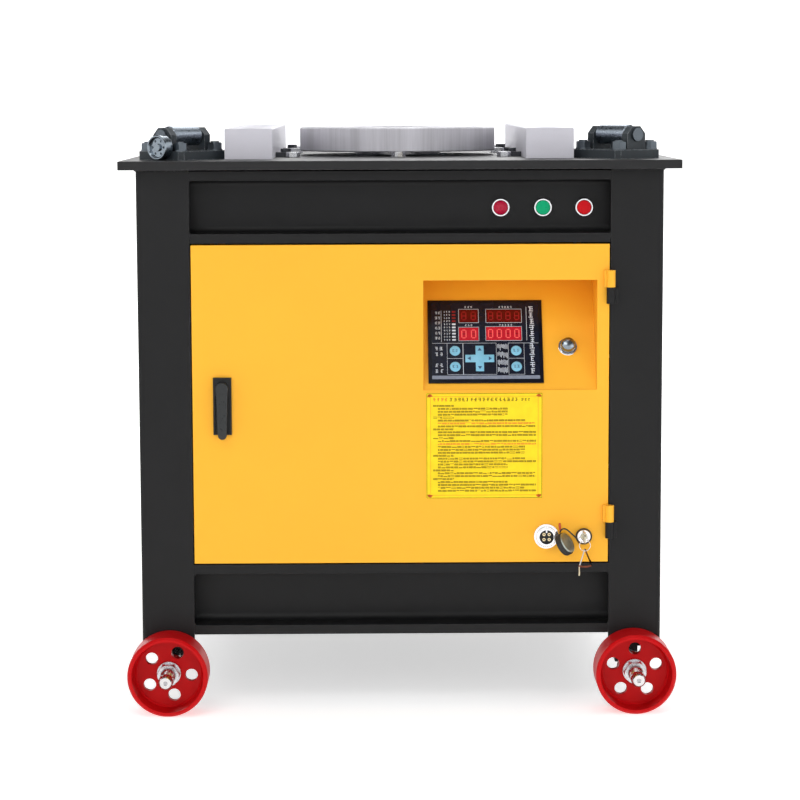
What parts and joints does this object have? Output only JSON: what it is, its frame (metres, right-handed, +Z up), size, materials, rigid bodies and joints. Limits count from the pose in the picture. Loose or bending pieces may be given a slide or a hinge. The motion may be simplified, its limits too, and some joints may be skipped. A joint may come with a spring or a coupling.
{
  "type": "rebar bender",
  "caption": "Wheeled cabinet rebar bender: turning disc and two insert blocks on a steel worktop, geared drive inside, front door with a sloped control niche.",
  "frame": {"origin": "on the floor under the centre of the turning disc", "axes": "+X to the machine's right seen from its front, +Y from the front to the back, +Z up"},
  "size_m": [0.76, 0.892, 0.801],
  "materials": {
    "frame_black": "satin black enamel",
    "table_steel": "dark enamel, worn bright on the edges",
    "door_yellow": "smooth golden yellow enamel",
    "panel_yellow": "golden yellow enamel",
    "zinc_fixing": "zinc plated",
    "axle_steel": "bright drawn bar",
    "wheel_red": "glossy red coating",
    "block_steel": "ground steel",
    "black_oxide": "black oxide",
    "bracket_iron": "blue-grey painted casting",
    "roller_steel": "turned and polished",
    "sleeve_chrome": "bright plating",
    "shaft_steel": "machined steel",
    "gear_steel": "hobbed steel, oiled",
    "gearbox_iron": "primed casting",
    "bearing_steel": "ground bearing steel",
    "motor_blue": "painted die casting",
    "copper_winding": "laminations with varnished copper",
    "black_plastic": "moulded black plastic",
    "cowl_black": "pressed and painted",
    "electrical_grey": "light and dark grey mouldings",
    "lens_dark_red": "faceted lens",
    "button_green": "moulded",
    "button_red": "moulded",
    "keypad_navy": "printed membrane over dark plastic",
    "plate_yellow": "printed film",
    "key_brass": "nickel brass",
    "tag_brown": "leather strap and tag on a steel ring",
    "cap_grey": "grey moulding",
    "cord_black": "plain black cord"
  },
  "bodies": {
    "frame": {"posts": "frame_black", "top_rails": "frame_black", "bottom_rails": "frame_black", "table_plate": "table_steel", "cover_panels": "panel_yellow", "panel_screws": "zinc_fixing", "base_pan": "frame_black", "axles": "axle_steel", "axle_nuts": "zinc_fixing", "insert_blocks": "block_steel", "block_screws": "black_oxide", "block_clamps": "black_oxide", "brackets": "bracket_iron", "bracket_studs": "zinc_fixing", "roller_pins": "zinc_fixing", "adjusting_sleeve": "sleeve_chrome", "gearbox_case": "gearbox_iron", "gearbox_cover": "gearbox_iron", "gearbox_bolts": "zinc_fixing", "bearings": "bearing_steel", "motor_case": "motor_blue", "stator": "copper_winding", "fan_cowl": "cowl_black", "electrical_panel": "electrical_grey", "lamp_bezels": "sleeve_chrome", "pilot_lens": "lens_dark_red", "frame_hinges": "frame_black"},
    "wheel_front_left": {"wheel_front_left": "wheel_red"},
    "wheel_front_right": {"wheel_front_right": "wheel_red"},
    "wheel_rear_left": {"wheel_rear_left": "wheel_red"},
    "wheel_rear_right": {"wheel_rear_right": "wheel_red"},
    "roller_left": {"roller_left": "roller_steel"},
    "roller_right": {"roller_right": "roller_steel"},
    "turntable": {"turning_disc": "block_steel", "disc_screws": "black_oxide", "main_shaft": "shaft_steel", "main_gear": "gear_steel"},
    "second_train": {"second_shaft": "shaft_steel", "second_gear": "gear_steel"},
    "first_train": {"first_shaft": "shaft_steel", "first_gear": "gear_steel"},
    "motor_rotor": {"rotor": "shaft_steel", "cooling_fan": "black_plastic"},
    "start_button": {"start_button": "button_green"},
    "stop_button": {"stop_button": "button_red"},
    "door": {"door_panel": "door_yellow", "door_hinges": "door_yellow", "niche_pan": "door_yellow", "keypad": "keypad_navy", "control_box": "black_plastic", "rating_plate": "plate_yellow", "latch_plate": "black_plastic", "pedal_socket": "sleeve_chrome", "key_lock": "sleeve_chrome", "dust_cap": "cap_grey", "cap_cord": "cord_black"},
    "latch": {"latch_handle": "black_plastic"},
    "knob": {"cam_knob": "sleeve_chrome"},
    "key": {"key": "key_brass"},
    "key_ring": {"key_ring": "tag_brown"}
  },
  "joints": [
    {"name": "disc_spin", "type": "hinge", "parent": "frame", "child": "turntable", "pos_m": [0, 0, 0.778], "axis": [0, 0, 1], "continuous": true},
    {"name": "second_shaft_spin", "type": "hinge", "parent": "frame", "child": "second_train", "pos_m": [-0.12762, 0.18226, 0.66], "axis": [0, 0, 1], "continuous": true},
    {"name": "first_shaft_spin", "type": "hinge", "parent": "frame", "child": "first_train", "pos_m": [0.01198, 0.20688, 0.64], "axis": [0, 0, 1], "continuous": true},
    {"name": "motor_spin", "type": "hinge", "parent": "frame", "child": "motor_rotor", "pos_m": [0.11182, 0.17054, 0.45], "axis": [0, 0, 1], "continuous": true},
    {"name": "wheel_front_left_spin", "type": "hinge", "parent": "frame", "child": "wheel_front_left", "pos_m": [-0.32, -0.384, 0.055], "axis": [0, 1, 0], "continuous": true},
    {"name": "wheel_front_right_spin", "type": "hinge", "parent": "frame", "child": "wheel_front_right", "pos_m": [0.32, -0.384, 0.055], "axis": [0, 1, 0], "continuous": true},
    {"name": "wheel_rear_left_spin", "type": "hinge", "parent": "frame", "child": "wheel_rear_left", "pos_m": [-0.32, 0.384, 0.055], "axis": [0, 1, 0], "continuous": true},
    {"name": "wheel_rear_right_spin", "type": "hinge", "parent": "frame", "child": "wheel_rear_right", "pos_m": [0.32, 0.384, 0.055], "axis": [0, 1, 0], "continuous": true},
    {"name": "roller_left_spin", "type": "hinge", "parent": "frame", "child": "roller_left", "pos_m": [-0.301, -0.27, 0.7875], "axis": [0.5736, 0.8192, 0], "continuous": true},
    {"name": "roller_right_spin", "type": "hinge", "parent": "frame", "child": "roller_right", "pos_m": [0.301, -0.27, 0.7875], "axis": [-0.5736, 0.8192, 0], "continuous": true},
    {"name": "start_press", "type": "slide", "parent": "frame", "child": "start_button", "axis": [0, 1, 0], "range_m": [0, 0.004], "stiffness_N_per_m": 800, "springref_m": -0.001},
    {"name": "stop_press", "type": "slide", "parent": "frame", "child": "stop_button", "axis": [0, 1, 0], "range_m": [0, 0.004], "stiffness_N_per_m": 800, "springref_m": -0.001},
    {"name": "door_swing", "type": "hinge", "parent": "frame", "child": "door", "pos_m": [0.286, -0.3663, 0.42], "axis": [0, 0, 1], "range_deg": [0, 110]},
    {"name": "latch_turn", "type": "hinge", "parent": "door", "child": "latch", "pos_m": [-0.2437, -0.367, 0.446], "axis": [0, 1, 0], "range_deg": [0, 90]},
    {"name": "knob_turn", "type": "hinge", "parent": "door", "child": "knob", "pos_m": [0.2305, -0.32726, 0.49756], "axis": [0, -0.875, 0.4842], "range_deg": [0, 90]},
    {"name": "key_turn", "type": "hinge", "parent": "door", "child": "key", "pos_m": [0.251, -0.366, 0.239], "axis": [0, -1, 0], "range_deg": [0, 90]},
    {"name": "key_ring_swing", "type": "hinge", "parent": "key", "child": "key_ring", "pos_m": [0.251, -0.3825, 0.237], "axis": [-1, 0, 0], "range_deg": [0, 75]}
  ],
  "couplings": [
    {"joint": "second_shaft_spin", "follows": "disc_spin", "ratio": -4.2353},
    {"joint": "first_shaft_spin", "follows": "disc_spin", "ratio": 15.945},
    {"joint": "motor_spin", "follows": "disc_spin", "ratio": -63.779}
  ]
}
